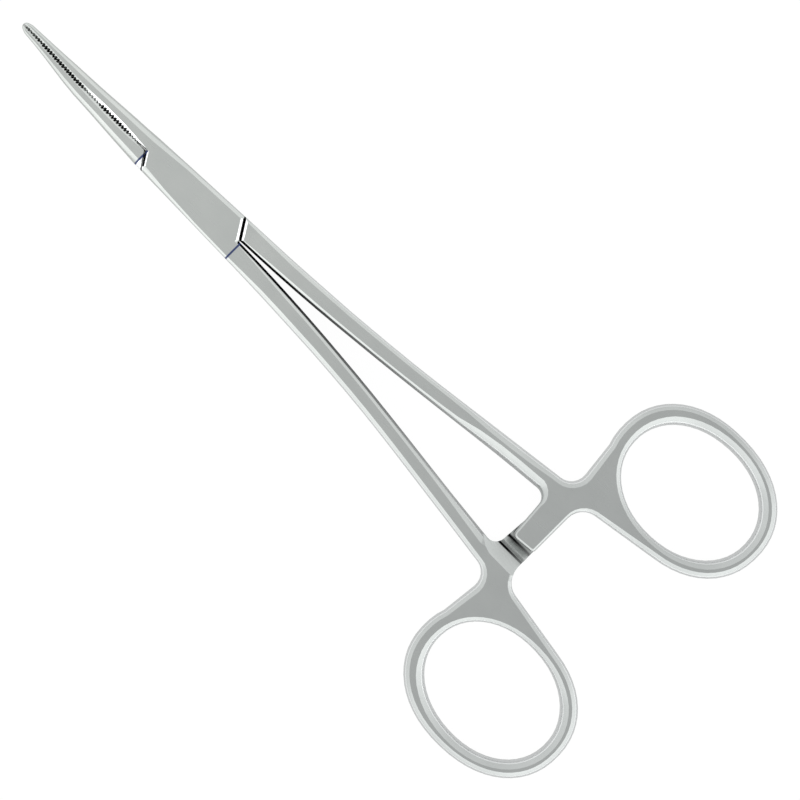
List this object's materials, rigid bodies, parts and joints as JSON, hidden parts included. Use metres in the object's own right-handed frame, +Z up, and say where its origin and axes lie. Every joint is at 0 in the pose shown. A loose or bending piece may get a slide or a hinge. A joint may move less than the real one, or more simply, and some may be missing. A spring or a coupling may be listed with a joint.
{
  "type": "hemostat forceps",
  "caption": "Straight haemostatic forceps with serrated jaws, a flush box lock, a ratchet and finger rings, in satin steel.",
  "frame": {"origin": "on the pivot axis, in the plane of the box lock's underside", "axes": "+X from the pivot towards the finger rings, +Y across the instrument towards the ring of the male arm, +Z up, along the pivot"},
  "size_m": [0.1404, 0.0677, 0.0048],
  "materials": {
    "arm_steel": "satin ground stainless steel with polished edges",
    "pin_steel": "satin, ground flush"
  },
  "bodies": {
    "fixed_arm": {"female_arm": "arm_steel", "pivot_pin": "pin_steel"},
    "moving_arm": {"male_arm": "arm_steel"}
  },
  "joints": [
    {"name": "box_lock_hinge", "type": "hinge", "parent": "fixed_arm", "child": "moving_arm", "pos_m": [0, 0, 0.0024], "axis": [0, 0, 1], "range_deg": [0, 70]}
  ]
}
